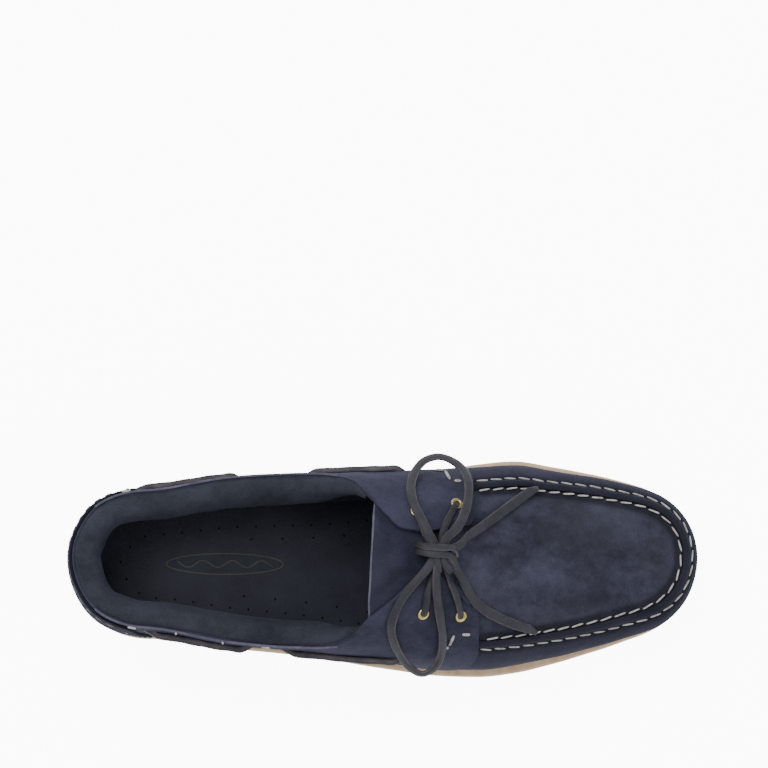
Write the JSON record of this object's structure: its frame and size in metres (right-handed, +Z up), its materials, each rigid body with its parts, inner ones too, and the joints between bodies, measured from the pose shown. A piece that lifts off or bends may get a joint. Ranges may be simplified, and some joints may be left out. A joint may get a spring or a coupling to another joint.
{
  "type": "boat shoe",
  "caption": "Right-foot moccasin-sewn boat shoe in navy suede with rawhide laces, brass eyelets and a pale rubber sole.",
  "frame": {"origin": "on the floor under the middle of the sole's length and width", "axes": "+X from heel to toe, +Y to the inner (medial) side of the right foot, +Z up"},
  "size_m": [0.29, 0.1025, 0.0878],
  "materials": {
    "rubber_sole": "matt cream moulded rubber",
    "insole_leather": "dark blue-grey leather, fine grain",
    "suede": "navy suede with a mottled nap",
    "tongue_suede": "navy suede, greyer than the upper",
    "lining_leather": "soft dark collar leather",
    "patch_leather": "dark navy leather",
    "rawhide": "waxed dark grey rawhide",
    "thread": "off-white waxed thread",
    "brass": "aged brass"
  },
  "bodies": {
    "root": {"outsole": "rubber_sole", "insole": "insole_leather", "upper": "suede", "tongue": "tongue_suede", "heel_patch": "patch_leather", "eyelet_medial_front": "brass", "eyelet_medial_rear": "brass", "eyelet_lateral_front": "brass", "eyelet_lateral_rear": "brass", "lace_bars": "rawhide", "lace_knot": "rawhide", "lace_loop_medial": "rawhide", "lace_loop_lateral": "rawhide", "lace_end_medial": "rawhide", "lace_end_lateral": "rawhide", "side_lace_medial_rear": "rawhide", "side_lace_medial_front": "rawhide", "side_lace_lateral_rear": "rawhide", "side_lace_lateral_front": "rawhide"}
  },
  "joints": []
}
